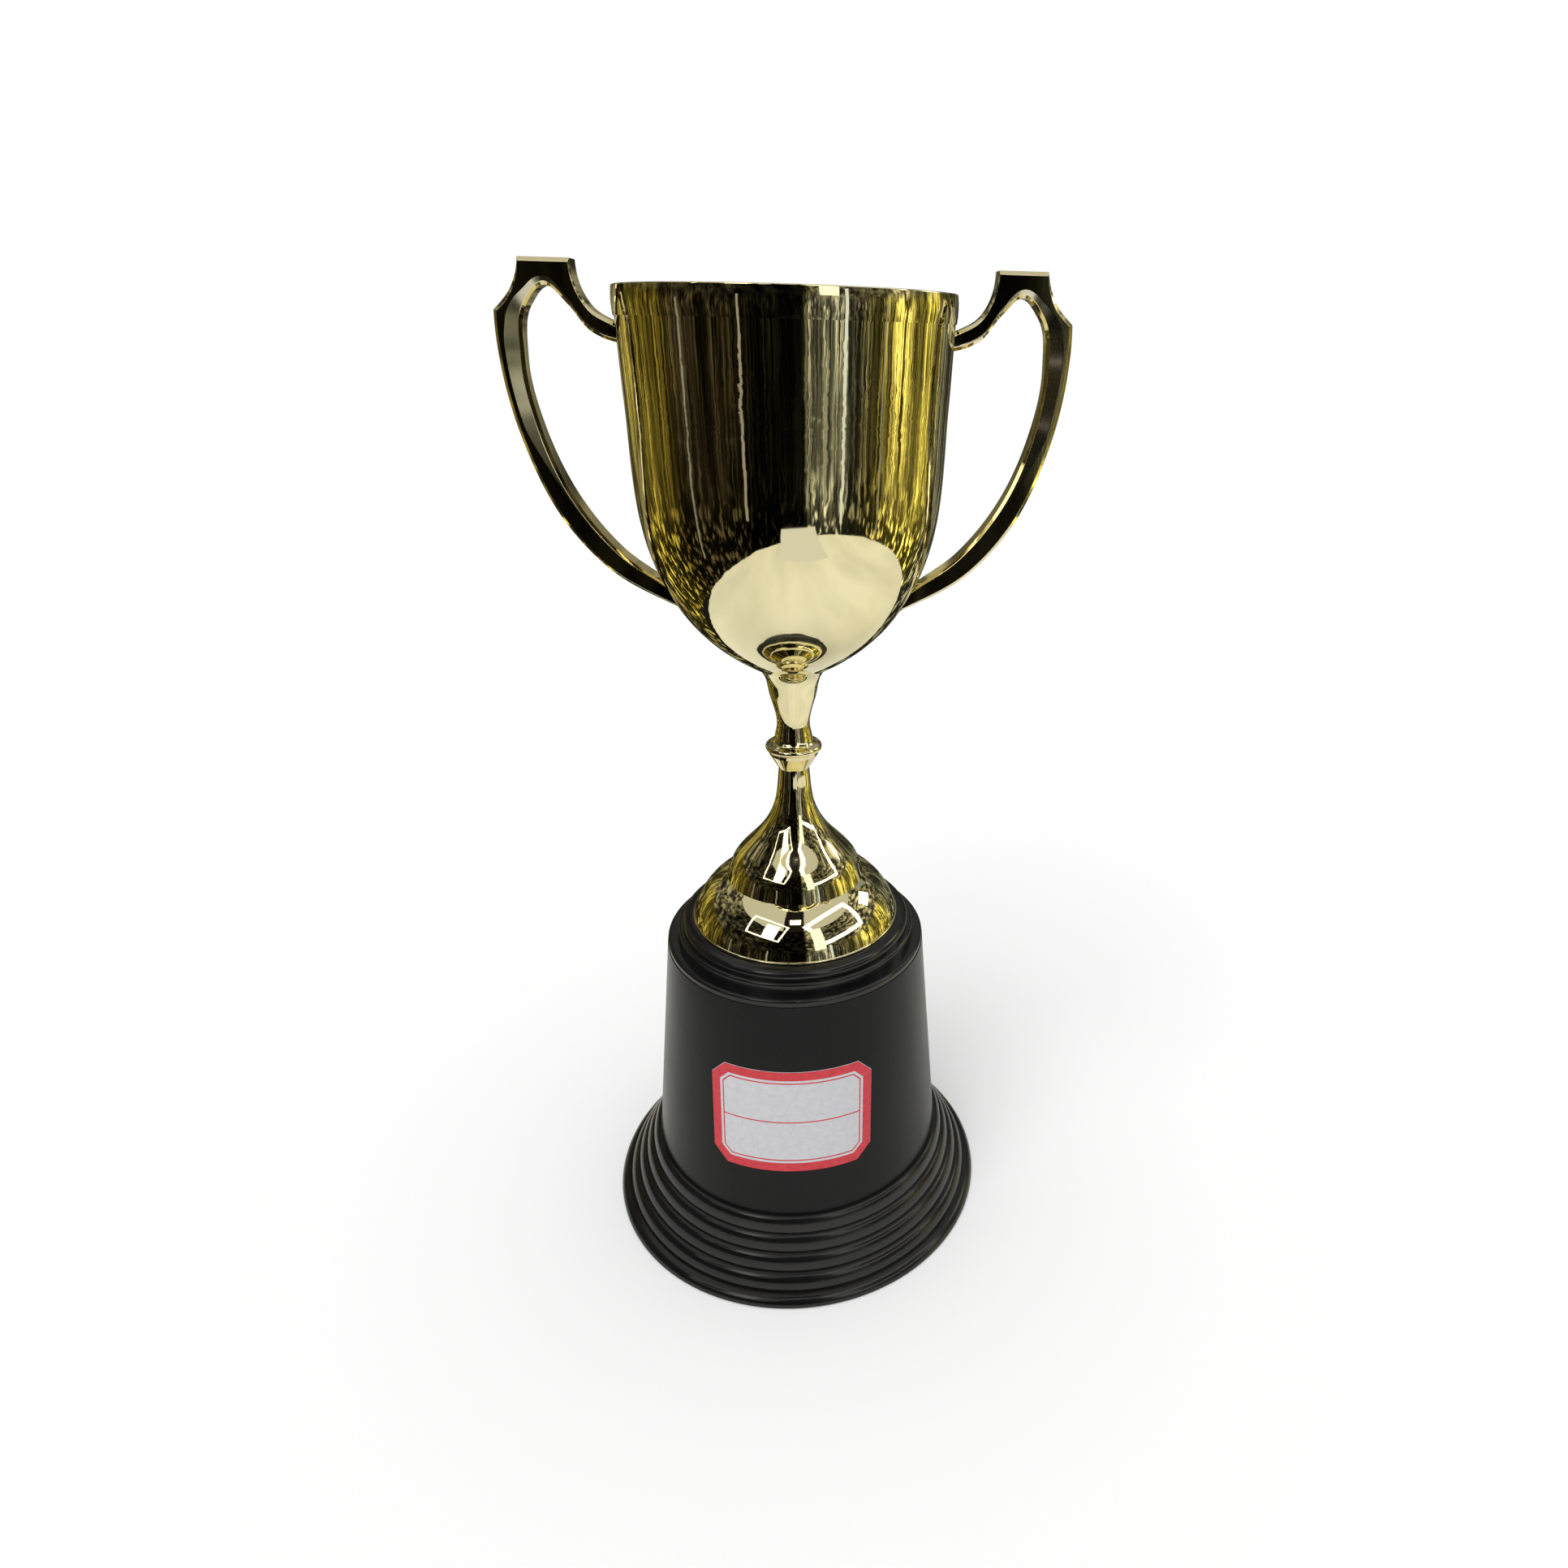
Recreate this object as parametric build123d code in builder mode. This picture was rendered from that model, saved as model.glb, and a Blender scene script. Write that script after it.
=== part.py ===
from build123d import *
import math
import os

# Cup trophy. Millimetres, +Z up, origin at the centre of the underside on the axis of revolution.
# The label faces -Y and the two handles lie in the XZ plane, one on each side of the bowl.

# ---------------------------------------------------------------- driving dimensions
# plinth
base_radius = 63.9
skirt_top_radius = 49.2
skirt_height = 23.3
skirt_beads = 5  # rounded steps down the skirt
bead_height = 5.1  # the lowest step is cut short by the floor
bead_growth = 0.25  # each step is this much wider than the one above
skirt_wall = 5.5
rebate_width = 5.8  # width of the ring that the skirt stands on
felt_thickness = 1.2
board_thickness = 3.0
board_ledge = 2.0
spigot_height = 5.0
spigot_wall = 3.0
drum_bottom_radius = 48.7
drum_top_radius = 41.9
drum_height = 75.0
drum_wall = 3.0
cap_ring_radius = 41.7
cap_ring_height = 2.2
cap_step_radius = 38.4
cap_step_height = 3.6
cap_seat_radius = 36.7
cap_seat_height = 1.2
cap_pad_radius = 33.8  # flat top that the foot stands on
cap_pad_rise = 2.0  # rounded slope between the seat's edge and the pad
cap_plate = 4.0
cap_wall = 3.0
cap_edge_round = 0.9
ballast_radius = 44.0
ballast_height = 12.0
ballast_chamfer = 1.0

# foot and stem
foot_edge = 0.4  # radius of the roll round the foot's lower edge
lobe_radius = 32.8
lobe_middle_radius = 30.2
lobe_middle_height = 6.4
crease_radius = 21.8
crease_height = 14.0
dome_upper_radius = 19.2
dome_upper_height = 20.2
dome_slope_radius = 11.5
dome_slope_height = 29.0
neck_foot_radius = 6.1
neck_foot_height = 39.3
neck_radius = 4.7
foot_height = 50.8
foot_wall = 1.2
knop_radius = 8.6
knop_height = 11.4
knop_ridge_height = 5.8
knop_edge = 1.1  # rounding of the knop's rim
knop_neck_radius = 5.5
stem_waist_radius = 5.0
stem_waist_height = 3.2
stem_flare_radius = 7.2
stem_flare_height = 13.2
stem_top_radius = 10.0
stem_height = 20.6

# bowl
bowl_wall = 1.0
bowl_depth = 101.0
rim_radius = 43.8
lip_height = 7.0
lip_proud = 0.35  # at the middle of the lip's swell
lip_edge = 0.1  # at the lip's upper and lower edge
rim_round = 0.35
flank_radius = 42.5  # the nearly upright upper wall
flank_height = 67.0
bulge_radius = 41.2
bulge_height = 45.5
shoulder_radius = 36.3
shoulder_height = 27.6
belly_radius = 27.0
belly_height = 12.9

# handles: reaches are measured outwards from the rim, drops downwards from it
handle_thickness = 8.0
handle_bevel = 1.0
handle_rise = 5.9  # flat top above the rim
top_inner_reach = 10.1
top_outer_reach = 22.9
elbow_reach = 30.1
elbow_drop = 6.3
upper_joint_drop = 11.2
upper_joint_width = 4.4  # measured up the bowl's wall
lower_joint_drop = 81.2
lower_joint_width = 7.8
arch_reach = 17.0  # highest point of the finger gap
arch_drop = 0.4
stud_radius = 1.5
stud_root = 2.0  # length buried in the handle
stud_tip = 0.6  # thread showing past the nut
upper_stud_drop = 11.2
lower_stud_drop = 79.2

# fixings
rod_radius = 2.5
rod_stub = 2.0  # thread showing past each nut
rod_chamfer = 0.5
nut_flats = 8.0
nut_height = 4.0
washer_radius = 7.0
washer_thickness = 1.2
clamp_washer_radius = 12.0
clamp_washer_thickness = 1.5
lock_washer_radius = 4.6
lock_washer_thickness = 1.2
lock_washer_gap = 1.4
stud_nut_flats = 5.0
stud_nut_height = 2.2
stud_washer_radius = 3.4
stud_washer_thickness = 0.5

# label
label_width = 52.0
label_height = 36.0
label_corner = 4.8
label_thickness = 0.25
label_centre_height = 35.0  # above the foot of the drum

# clearances
slide_clearance = 0.2  # rod in its bores
thread_clearance = 0.05  # nuts on their threads
spigot_clearance = 0.15
seat_clearance = 0.05  # handle ends and label on curved walls
washer_relief = 0.3  # flat washers on the hollow side of the bowl

# ---------------------------------------------------------------- levels up the axis
drum_bottom = skirt_height
cap_bottom = drum_bottom + drum_height
step_bottom = cap_bottom + cap_ring_height
seat_bottom = step_bottom + cap_step_height
seat_top = seat_bottom + cap_seat_height
foot_bottom = seat_top + cap_pad_rise
knop_bottom = foot_bottom + foot_height
stem_bottom = knop_bottom + knop_height
bowl_bottom = stem_bottom + stem_height
rim_top = bowl_bottom + bowl_depth

bore_radius = rod_radius + slide_clearance
board_bottom = felt_thickness
board_top = board_bottom + board_thickness
plate_underside = foot_bottom - cap_plate

os.makedirs("parts", exist_ok=True)


# ---------------------------------------------------------------- plinth
def drum_radius(height, inset=0.0):
    """Radius of the tapered drum at a height above its foot, measured square to the axis."""
    taper = (drum_top_radius - drum_bottom_radius) / drum_height
    return drum_bottom_radius + taper * height - inset


board_radius = base_radius - rebate_width
spigot_radius = drum_radius(spigot_height, drum_wall) - spigot_clearance
skirt_inner_top = drum_bottom - cap_wall
# the wall inside runs parallel to a straight line through the ends of the steps
skirt_taper = (skirt_top_radius - base_radius) / skirt_height
skirt_inner_bottom_radius = base_radius + skirt_taper * board_top - skirt_wall
skirt_inner_top_radius = base_radius + skirt_taper * skirt_inner_top - skirt_wall
mean_bead_width = (base_radius - skirt_top_radius) / skirt_beads

with BuildPart() as felt_pad:
    with BuildSketch():
        Circle(board_radius - spigot_clearance)
    extrude(amount=felt_thickness)

with BuildPart() as base_board:
    with BuildSketch(Plane.XY.offset(board_bottom)):
        Circle(board_radius - spigot_clearance)
    extrude(amount=board_thickness)

with BuildPart() as ballast:
    with BuildSketch(Plane.XY.offset(board_top)):
        Circle(ballast_radius)
    extrude(amount=ballast_height)
    chamfer(ballast.edges().group_by(Axis.Z)[-1], length=ballast_chamfer)

with BuildPart() as plinth_skirt:
    with BuildSketch(Plane.XZ):
        with BuildLine():
            inner = skirt_top_radius
            upper = drum_bottom
            for step in range(skirt_beads):
                outer = inner + mean_bead_width + bead_growth * (step - (skirt_beads - 1) / 2)
                last = step == skirt_beads - 1
                lower = 0.0 if last else upper - bead_height
                EllipticalCenterArc((inner, lower), outer - inner, upper - lower, arc_size=90)
                inner = outer
                upper = lower
            Polyline(
                (skirt_top_radius, drum_bottom),
                (spigot_radius, drum_bottom),
                (spigot_radius, drum_bottom + spigot_height),
                (spigot_radius - spigot_wall, drum_bottom + spigot_height),
                (spigot_radius - spigot_wall, skirt_inner_top),
                (skirt_inner_top_radius, skirt_inner_top),
                (skirt_inner_bottom_radius - board_ledge, board_top),
                (board_radius, board_top),
                (board_radius, 0),
                (base_radius, 0),
            )
        make_face()
    revolve(axis=Axis.Z)

with BuildPart() as plinth_drum:
    with BuildSketch(Plane.XZ):
        with BuildLine():
            Polyline(
                (drum_radius(0), drum_bottom),
                (drum_radius(drum_height), cap_bottom),
                (drum_radius(drum_height, drum_wall), cap_bottom),
                (drum_radius(0, drum_wall), drum_bottom),
                close=True,
            )
        make_face()
    revolve(axis=Axis.Z)

cap_spigot_radius = drum_radius(drum_height, drum_wall) - spigot_clearance
cap_inner_radius = cap_spigot_radius - spigot_wall
with BuildPart() as plinth_cap:
    with BuildSketch(Plane.XZ):
        with BuildLine():
            Line((bore_radius, foot_bottom), (cap_pad_radius, foot_bottom))
            EllipticalCenterArc(
                (cap_pad_radius, seat_top),
                cap_seat_radius - cap_pad_radius,
                cap_pad_rise,
                arc_size=90,
            )
            Polyline(
                (cap_seat_radius, seat_top),
                (cap_seat_radius, seat_bottom),
                (cap_step_radius, seat_bottom),
                (cap_step_radius, step_bottom),
                (cap_ring_radius, step_bottom),
                (cap_ring_radius, cap_bottom),
                (cap_spigot_radius, cap_bottom),
                (cap_spigot_radius, cap_bottom - spigot_height),
                (cap_inner_radius, cap_bottom - spigot_height),
                (cap_inner_radius, plate_underside),
                (bore_radius, plate_underside),
                (bore_radius, foot_bottom),
            )
        make_face()
    revolve(axis=Axis.Z)
    ring_edges = [
        edge
        for edge in plinth_cap.edges().filter_by(GeomType.CIRCLE)
        if (abs(edge.radius - cap_ring_radius) + abs(edge.center().Z - step_bottom)) < 0.01
        or (abs(edge.radius - cap_step_radius) + abs(edge.center().Z - seat_bottom)) < 0.01
    ]
    fillet(ring_edges, radius=cap_edge_round)

# ---------------------------------------------------------------- foot, knop and stem
lobe_middle_z = foot_bottom + lobe_middle_height
crease_z = foot_bottom + crease_height
dome_upper_z = foot_bottom + dome_upper_height
dome_slope_z = foot_bottom + dome_slope_height
with BuildPart() as foot:
    with BuildSketch(Plane.XZ):
        with BuildLine():
            Line((0, foot_bottom), (0, knop_bottom))
            Line((0, knop_bottom), (neck_radius, knop_bottom))
            Spline(
                (neck_radius, knop_bottom),
                (neck_foot_radius, foot_bottom + neck_foot_height),
                (dome_slope_radius, dome_slope_z),
                (dome_upper_radius, dome_upper_z),
                (crease_radius, crease_z),
                tangents=[(0.1, -1), (0.35, -1)],
            )
            ThreePointArc(
                (crease_radius, crease_z),
                (lobe_middle_radius, lobe_middle_z),
                (lobe_radius, foot_bottom + 2 * foot_edge),
            )
            ThreePointArc(
                (lobe_radius, foot_bottom + 2 * foot_edge),
                (lobe_radius + foot_edge, foot_bottom + foot_edge),
                (lobe_radius, foot_bottom),
            )
            Line((lobe_radius, foot_bottom), (0, foot_bottom))
        make_face()
    revolve(axis=Axis.Z)
    with BuildSketch(Plane.XZ):
        with BuildLine():
            ThreePointArc(
                (lobe_radius - foot_wall, foot_bottom),
                (lobe_middle_radius - foot_wall, lobe_middle_z - foot_wall),
                (crease_radius - foot_wall, crease_z - foot_wall),
            )
            Polyline(
                (crease_radius - foot_wall, crease_z - foot_wall),
                (dome_upper_radius - foot_wall, dome_upper_z - foot_wall),
                (dome_slope_radius - foot_wall, dome_slope_z - foot_wall),
                (0, dome_slope_z - foot_wall),
                (0, foot_bottom),
                (lobe_radius - foot_wall, foot_bottom),
            )
        make_face()
    revolve(axis=Axis.Z, mode=Mode.SUBTRACT)
    with BuildSketch(Plane.XY.offset(foot_bottom)):
        Circle(bore_radius)
    extrude(amount=foot_height, mode=Mode.SUBTRACT)

knop_ridge_z = knop_bottom + knop_ridge_height
with BuildPart() as knop:
    with BuildSketch(Plane.XZ):
        with BuildLine():
            Polyline(
                (knop_neck_radius, stem_bottom),
                (bore_radius, stem_bottom),
                (bore_radius, knop_bottom),
                (neck_radius, knop_bottom),
                (knop_radius - knop_edge, knop_ridge_z - knop_edge),
                (knop_radius - knop_edge, knop_ridge_z),
            )
            ThreePointArc(
                (knop_radius - knop_edge, knop_ridge_z),
                (knop_radius, knop_ridge_z + knop_edge),
                (knop_radius - knop_edge, knop_ridge_z + 2 * knop_edge),
            )
            Spline(
                (knop_radius - knop_edge, knop_ridge_z + 2 * knop_edge),
                (knop_neck_radius, stem_bottom),
                tangents=[(-1, 0.35), (-0.1, 1)],
            )
        make_face()
    revolve(axis=Axis.Z)

with BuildPart() as stem:
    with BuildSketch(Plane.XZ):
        with BuildLine():
            Spline(
                (knop_neck_radius, stem_bottom),
                (stem_waist_radius, stem_bottom + stem_waist_height),
                (stem_flare_radius, stem_bottom + stem_flare_height),
                (stem_top_radius, bowl_bottom),
                tangents=[(-0.3, 1), (1, 1.1)],
            )
            Polyline(
                (stem_top_radius, bowl_bottom),
                (bore_radius, bowl_bottom),
                (bore_radius, stem_bottom),
                (knop_neck_radius, stem_bottom),
            )
        make_face()
    revolve(axis=Axis.Z)

# ---------------------------------------------------------------- bowl
def bowl_outline(grow=0.0):
    """Outer profile of the bowl from its underside to the rim, moved outwards by grow."""
    return Spline(
        (stem_top_radius + grow, bowl_bottom - grow),
        (belly_radius + grow, bowl_bottom + belly_height),
        (shoulder_radius + grow, bowl_bottom + shoulder_height),
        (bulge_radius + grow, bowl_bottom + bulge_height),
        (flank_radius + grow, bowl_bottom + flank_height),
        (rim_radius + grow, rim_top),
        tangents=[(1, 0.55), (0.03, 1)],
    )


with BuildLine() as wall_line:
    wall_curve = bowl_outline()


def wall_frame(height):
    """Point on the bowl's wall at a height, and the unit normal there, both in the XZ plane."""
    low = 0.0
    high = 1.0
    for _ in range(40):
        middle = (low + high) / 2
        if wall_curve.position_at(middle).Y < height:
            low = middle
        else:
            high = middle
    point = wall_curve.position_at(low)
    along = wall_curve.tangent_at(low)
    return Vector(point.X, point.Y), Vector(along.Y, -along.X)


def solid_bowl(grow):
    """The bowl as a filled body, which cuts the handle ends to its wall."""
    with BuildPart() as filled:
        with BuildSketch(Plane.XZ):
            with BuildLine():
                bowl_outline(grow)
                Polyline(
                    (rim_radius + grow, rim_top),
                    (0, rim_top),
                    (0, bowl_bottom - grow),
                    (stem_top_radius + grow, bowl_bottom - grow),
                )
            make_face()
        revolve(axis=Axis.Z)
    return filled.part


stud_frames = []
for drop in (upper_stud_drop, lower_stud_drop):
    stud_frames.append(wall_frame(rim_top - drop))
washer_seat = bowl_wall + washer_relief
stud_length = washer_seat + stud_washer_thickness + stud_nut_height + stud_tip
# the studs of the right handle, and those of the left handle mirrored
stud_planes = []
for side in (1, -1):
    for point, normal in stud_frames:
        inwards = (-side * normal.X, 0, -normal.Y)
        stud_planes.append(Plane(origin=(side * point.X, 0, point.Y), x_dir=(0, 1, 0), z_dir=inwards))

with BuildPart() as bowl:
    add(solid_bowl(0.0))
    with BuildSketch(Plane.XZ):
        with BuildLine():
            ThreePointArc(
                (rim_radius + lip_edge, rim_top),
                (rim_radius + lip_proud, rim_top - lip_height / 2),
                (rim_radius + lip_edge, rim_top - lip_height),
            )
            Polyline(
                (rim_radius + lip_edge, rim_top - lip_height),
                (wall_frame(rim_top - lip_height)[0].X - bowl_wall / 2, rim_top - lip_height),
                (rim_radius - bowl_wall, rim_top),
                (rim_radius + lip_edge, rim_top),
            )
        make_face()
    revolve(axis=Axis.Z)
    offset(amount=-bowl_wall, openings=bowl.faces().sort_by(Axis.Z)[-1])
    fillet(bowl.edges().sort_by(Axis.Z)[-2:], radius=rim_round)
    with BuildSketch(Plane.XY.offset(bowl_bottom)):
        Circle(bore_radius)
    extrude(amount=2 * bowl_wall, mode=Mode.SUBTRACT)
    for stud_plane in stud_planes:
        with BuildSketch(stud_plane):
            Circle(stud_radius + slide_clearance)
        extrude(amount=2 * bowl_wall, both=True, mode=Mode.SUBTRACT)

# ---------------------------------------------------------------- handles
def beyond_rim(reach, drop):
    """Point in the handle's plane, measured outwards and downwards from the rim."""
    return (rim_radius + reach, rim_top - drop)


def joint_points(drop, width):
    """Upper and lower edge of a handle's end on the wall, and both moved into the bowl."""
    points = []
    for height in (rim_top - drop + width / 2, rim_top - drop - width / 2):
        point, normal = wall_frame(height)
        points.append((point.X, point.Y))
        points.append((point.X - joint_depth * normal.X, point.Y - joint_depth * normal.Y))
    return points


joint_depth = 4 * bowl_wall
upper_top, upper_top_in, upper_under, upper_under_in = joint_points(upper_joint_drop, upper_joint_width)
lower_top, lower_top_in, lower_under, lower_under_in = joint_points(lower_joint_drop, lower_joint_width)
top_inner = beyond_rim(top_inner_reach, -handle_rise)
top_outer = beyond_rim(top_outer_reach, -handle_rise)
elbow = beyond_rim(elbow_reach, elbow_drop)
arch = beyond_rim(arch_reach, arch_drop)

with BuildPart() as handle_right:
    with BuildSketch(Plane.XZ):
        with BuildLine():
            Polyline(upper_under, upper_under_in, upper_top_in, upper_top)
            Spline(
                upper_top,
                beyond_rim(6.3, 5.0),
                beyond_rim(9.0, 0.6),
                top_inner,
                tangents=[(1, 0.5), (0.02, 1)],
            )
            Line(top_inner, top_outer)
            Spline(top_outer, beyond_rim(25.2, 0.9), elbow, tangents=[(0.1, -1), (1, -0.9)])
            Spline(
                elbow,
                beyond_rim(30.0, 19.0),
                beyond_rim(26.1, 39.4),
                beyond_rim(17.9, 58.6),
                beyond_rim(6.7, 71.8),
                lower_under,
                tangents=[(0.1, -1), (-1, -0.55)],
            )
            Polyline(lower_under, lower_under_in, lower_top_in, lower_top)
            Spline(
                lower_top,
                beyond_rim(3.2, 67.2),
                beyond_rim(14.2, 52.9),
                beyond_rim(21.5, 34.5),
                beyond_rim(23.9, 17.5),
                beyond_rim(21.6, 4.6),
                arch,
                beyond_rim(11.6, 4.5),
                beyond_rim(6.2, 10.8),
                upper_under,
                tangents=[(1, 0.9), (-1, -0.15)],
            )
        make_face()
    extrude(amount=handle_thickness / 2, both=True)
    faces_front_back = handle_right.faces().filter_by(Axis.Y)
    chamfer(faces_front_back.edges(), length=handle_bevel)
    add(solid_bowl(seat_clearance), mode=Mode.SUBTRACT)
    for stud_plane in stud_planes[: len(stud_frames)]:
        with BuildSketch(stud_plane.offset(-stud_root)):
            Circle(stud_radius)
        extrude(amount=stud_root + stud_length)

with BuildPart() as handle_left:
    mirror(handle_right.part, about=Plane.YZ)

with BuildPart() as handle_washers:
    for stud_plane in stud_planes:
        with BuildSketch(stud_plane.offset(washer_seat)):
            Circle(stud_washer_radius)
            Circle(stud_radius + slide_clearance, mode=Mode.SUBTRACT)
        extrude(amount=stud_washer_thickness)

with BuildPart() as handle_nuts:
    for stud_plane in stud_planes:
        with BuildSketch(stud_plane.offset(washer_seat + stud_washer_thickness)):
            RegularPolygon(stud_nut_flats / 2, side_count=6, major_radius=False)
            Circle(stud_radius + thread_clearance, mode=Mode.SUBTRACT)
        extrude(amount=stud_nut_height)

# ---------------------------------------------------------------- tie rod and its fixings
bowl_floor = bowl_bottom + bowl_wall
bowl_nut_bottom = bowl_floor + washer_thickness
clamp_washer_bottom = plate_underside - clamp_washer_thickness
lock_washer_bottom = clamp_washer_bottom - lock_washer_thickness
base_nut_bottom = lock_washer_bottom - nut_height
rod_bottom = base_nut_bottom - rod_stub
rod_top = bowl_nut_bottom + nut_height + rod_stub

with BuildPart() as tie_rod:
    with BuildSketch(Plane.XY.offset(rod_bottom)):
        Circle(rod_radius)
    extrude(amount=rod_top - rod_bottom)
    chamfer(tie_rod.edges().filter_by(GeomType.CIRCLE), length=rod_chamfer)

with BuildPart() as bowl_washer:
    with BuildSketch(Plane.XY.offset(bowl_floor)):
        Circle(washer_radius)
        Circle(bore_radius, mode=Mode.SUBTRACT)
    extrude(amount=washer_thickness)

with BuildPart() as bowl_nut:
    with BuildSketch(Plane.XY.offset(bowl_nut_bottom)):
        RegularPolygon(nut_flats / 2, side_count=6, major_radius=False)
        Circle(rod_radius + thread_clearance, mode=Mode.SUBTRACT)
    extrude(amount=nut_height)

with BuildPart() as clamp_washer:
    with BuildSketch(Plane.XY.offset(clamp_washer_bottom)):
        Circle(clamp_washer_radius)
        Circle(bore_radius, mode=Mode.SUBTRACT)
    extrude(amount=clamp_washer_thickness)

with BuildPart() as lock_washer:
    with BuildSketch(Plane.XY.offset(lock_washer_bottom)):
        Circle(lock_washer_radius)
        Circle(bore_radius, mode=Mode.SUBTRACT)
    extrude(amount=lock_washer_thickness)
    with BuildSketch(Plane.XY.offset(lock_washer_bottom)):
        with Locations((lock_washer_radius, 0)):
            Rectangle(lock_washer_radius, lock_washer_gap)
    extrude(amount=lock_washer_thickness, mode=Mode.SUBTRACT)

with BuildPart() as base_nut:
    with BuildSketch(Plane.XY.offset(base_nut_bottom)):
        RegularPolygon(nut_flats / 2, side_count=6, major_radius=False)
        Circle(rod_radius + thread_clearance, mode=Mode.SUBTRACT)
    extrude(amount=nut_height)

# ---------------------------------------------------------------- label
label_radius = drum_radius(label_centre_height)
label_chord = 2 * label_radius * math.sin(label_width / label_radius / 2)
with BuildPart() as label:
    with BuildSketch(Plane.XZ):
        with BuildLine():
            Polyline(
                (drum_radius(0) + seat_clearance, drum_bottom),
                (drum_radius(0) + seat_clearance + label_thickness, drum_bottom),
                (drum_radius(drum_height) + seat_clearance + label_thickness, cap_bottom),
                (drum_radius(drum_height) + seat_clearance, cap_bottom),
                close=True,
            )
        make_face()
    revolve(axis=Axis.Z)
    with BuildSketch(Plane.XZ) as label_outline:
        with Locations((0, drum_bottom + label_centre_height)):
            Rectangle(label_chord, label_height)
        chamfer(label_outline.vertices(), length=label_corner)
    extrude(amount=base_radius, mode=Mode.INTERSECT)

# ---------------------------------------------------------------- files
felt_pad.part.label = "felt_pad"
export_step(felt_pad.part, "parts/felt_pad.step")
base_board.part.label = "base_board"
export_step(base_board.part, "parts/base_board.step")
ballast.part.label = "ballast"
export_step(ballast.part, "parts/ballast.step")
plinth_skirt.part.label = "plinth_skirt"
export_step(plinth_skirt.part, "parts/plinth_skirt.step")
plinth_drum.part.label = "plinth_drum"
export_step(plinth_drum.part, "parts/plinth_drum.step")
plinth_cap.part.label = "plinth_cap"
export_step(plinth_cap.part, "parts/plinth_cap.step")
foot.part.label = "foot"
export_step(foot.part, "parts/foot.step")
knop.part.label = "knop"
export_step(knop.part, "parts/knop.step")
stem.part.label = "stem"
export_step(stem.part, "parts/stem.step")
bowl.part.label = "bowl"
export_step(bowl.part, "parts/bowl.step")
handle_right.part.label = "handle_right"
export_step(handle_right.part, "parts/handle_right.step")
handle_left.part.label = "handle_left"
export_step(handle_left.part, "parts/handle_left.step")
handle_washers.part.label = "handle_washers"
export_step(handle_washers.part, "parts/handle_washers.step")
handle_nuts.part.label = "handle_nuts"
export_step(handle_nuts.part, "parts/handle_nuts.step")
tie_rod.part.label = "tie_rod"
export_step(tie_rod.part, "parts/tie_rod.step")
bowl_washer.part.label = "bowl_washer"
export_step(bowl_washer.part, "parts/bowl_washer.step")
bowl_nut.part.label = "bowl_nut"
export_step(bowl_nut.part, "parts/bowl_nut.step")
clamp_washer.part.label = "clamp_washer"
export_step(clamp_washer.part, "parts/clamp_washer.step")
lock_washer.part.label = "lock_washer"
export_step(lock_washer.part, "parts/lock_washer.step")
base_nut.part.label = "base_nut"
export_step(base_nut.part, "parts/base_nut.step")
label.part.label = "label"
export_step(label.part, "parts/label.step")
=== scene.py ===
import math

import bmesh
import bpy
from mathutils import Matrix, Vector


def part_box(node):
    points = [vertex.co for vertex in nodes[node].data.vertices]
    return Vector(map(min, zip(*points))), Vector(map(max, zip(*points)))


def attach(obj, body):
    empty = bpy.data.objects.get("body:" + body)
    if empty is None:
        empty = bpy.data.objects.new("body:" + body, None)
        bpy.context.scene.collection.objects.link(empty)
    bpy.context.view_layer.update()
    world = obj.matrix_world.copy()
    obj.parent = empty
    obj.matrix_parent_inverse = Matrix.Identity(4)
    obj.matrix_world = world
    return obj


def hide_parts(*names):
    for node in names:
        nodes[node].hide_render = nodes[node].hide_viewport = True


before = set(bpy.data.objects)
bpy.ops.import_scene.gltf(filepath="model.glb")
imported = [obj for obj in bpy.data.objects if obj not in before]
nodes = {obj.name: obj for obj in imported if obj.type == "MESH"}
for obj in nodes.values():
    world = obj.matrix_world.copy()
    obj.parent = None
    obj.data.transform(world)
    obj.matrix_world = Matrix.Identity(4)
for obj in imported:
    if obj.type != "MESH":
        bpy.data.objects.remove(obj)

MM = 0.001
scene = bpy.context.scene
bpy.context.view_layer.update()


# ---------------------------------------------------------------- camera
IMAGE = 1932                       # side of the square picture, in pixels
FOCAL = 1227.4                     # focal length, in pixels
SENSOR = 36                        # width of the film, in millimetres
SHIFT = (-0.0669, -0.0120)         # how far the picture's middle lies off the lens axis
YAW = 0.1036 - math.radians(3.0)   # the camera's aim, to the right of straight ahead
PITCH = 0.40987                    # looking down
ROLL = -0.0270
EYE = Vector((0.01486, -0.28361, 0.28193))


def make_camera():
    data = bpy.data.cameras.new("camera")
    cam = bpy.data.objects.new("camera", data)
    scene.collection.objects.link(cam)
    ahead = Vector((math.sin(YAW) * math.cos(PITCH), math.cos(YAW) * math.cos(PITCH), -math.sin(PITCH)))
    side = Vector((math.cos(YAW), -math.sin(YAW), 0))
    down = ahead.cross(side)
    right = math.cos(ROLL) * side + math.sin(ROLL) * down
    below = -math.sin(ROLL) * side + math.cos(ROLL) * down
    turn = Matrix((right, -below, -ahead)).transposed().to_4x4()
    cam.matrix_world = Matrix.Translation(EYE) @ turn
    data.sensor_fit = "HORIZONTAL"
    data.sensor_width = SENSOR
    data.lens = SENSOR * FOCAL / IMAGE
    data.shift_x, data.shift_y = SHIFT
    data.clip_start = 0.01
    scene.camera = cam


make_camera()
scene.view_settings.view_transform = "Standard"


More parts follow.
